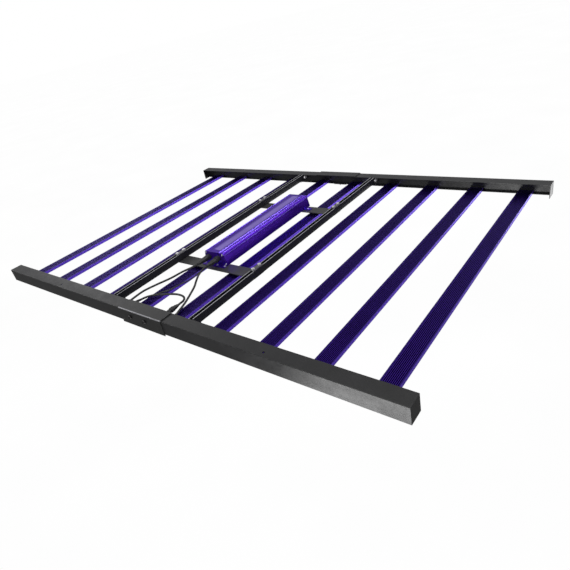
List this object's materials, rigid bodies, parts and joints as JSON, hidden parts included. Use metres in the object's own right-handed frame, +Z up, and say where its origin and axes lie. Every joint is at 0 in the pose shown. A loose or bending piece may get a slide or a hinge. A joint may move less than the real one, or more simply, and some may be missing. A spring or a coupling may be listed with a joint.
{
  "type": "led grow light",
  "caption": "Folding LED grow light: parallel finned light bars between two black C-section side rails, with a box-shaped extruded driver on a central frame of two beams and two cross plates.",
  "frame": {"origin": "middle of the four hanging holes, on the plane of the rails' top faces; the driver stands above it and everything else hangs below it", "axes": "+X along the side rails to the right, +Y along the bars away from the cable end of the driver, +Z up, light shines towards -Z"},
  "size_m": [1.64, 1.1246, 0.0711],
  "materials": {
    "rail_paint": "satin black powder coat",
    "plate_paint": "satin dark grey powder coat",
    "purple_anodised": "purple anodised extrusion",
    "grey_metal": "dull zinc",
    "bright_steel": "bright zinc fasteners",
    "black_screw": "black oxide screws",
    "black_plastic": "moulded matt black",
    "cable_rubber": "black cable jacket",
    "board_white": "white solder mask",
    "led_phosphor": "yellow phosphor",
    "lens_clear": "clear thin cover",
    "label_film": "plain lavender film",
    "driver_green": "circuit board and parts"
  },
  "bodies": {
    "left_half": {"near_rail_left": "rail_paint", "far_rail_left": "rail_paint", "end_plates_left": "rail_paint", "splice_sleeves": "plate_paint", "sleeve_screws": "black_screw", "hinge_leaves_left": "grey_metal", "hinge_pins": "bright_steel", "heatsink_bar_1": "purple_anodised", "heatsink_bar_2": "purple_anodised", "heatsink_bar_3": "purple_anodised", "heatsink_bar_4": "purple_anodised", "heatsink_bar_5": "purple_anodised", "led_boards_left": "board_white", "led_chips_left": "led_phosphor", "lens_strips_left": "lens_clear", "bar_end_caps_left": "black_plastic", "bar_screws_left": "bright_steel", "harness_left": "cable_rubber", "driver_beam_left": "plate_paint", "driver_beam_right": "plate_paint", "beam_bolts_left": "bright_steel", "beam_brackets_left": "rail_paint", "cross_plate_near": "plate_paint", "cross_plate_far": "plate_paint", "saddle_plates": "grey_metal", "cross_bolts": "bright_steel", "cross_nuts": "bright_steel", "driver_case": "purple_anodised", "driver_end_plate_near": "purple_anodised", "driver_end_plate_far": "purple_anodised", "driver_feet": "purple_anodised", "driver_screws": "bright_steel", "driver_label": "label_film", "driver_electronics": "driver_green", "mains_inlet": "black_plastic", "cable_glands": "black_plastic", "output_plug": "black_plastic", "feed_cable_left": "cable_rubber", "feed_cable_right": "cable_rubber", "link_cable": "cable_rubber", "inline_connector": "black_plastic"},
    "right_half": {"near_rail_right": "rail_paint", "far_rail_right": "rail_paint", "end_plates_right": "rail_paint", "hinge_leaves_right": "grey_metal", "heatsink_bar_6": "purple_anodised", "heatsink_bar_7": "purple_anodised", "heatsink_bar_8": "purple_anodised", "heatsink_bar_9": "purple_anodised", "heatsink_bar_10": "purple_anodised", "led_boards_right": "board_white", "led_chips_right": "led_phosphor", "lens_strips_right": "lens_clear", "bar_end_caps_right": "black_plastic", "bar_screws_right": "bright_steel", "harness_right": "cable_rubber", "beam_brackets_right": "rail_paint", "beam_bolts_right": "bright_steel"},
    "output_nut": {"output_coupling_nut": "black_plastic"},
    "inline_nut": {"inline_coupling_nut": "black_plastic"}
  },
  "joints": [
    {"name": "fold", "type": "hinge", "parent": "left_half", "child": "right_half", "pos_m": [0, 0, -0.0481], "axis": [0, 1, 0], "range_deg": [0, 180]},
    {"name": "output_nut_turn", "type": "hinge", "parent": "left_half", "child": "output_nut", "pos_m": [0.002, -0.23, 0.001], "axis": [0, 1, 0], "continuous": true},
    {"name": "inline_nut_turn", "type": "hinge", "parent": "left_half", "child": "inline_nut", "pos_m": [0.045, -0.476, -0.025], "axis": [0, 1, 0], "continuous": true}
  ]
}
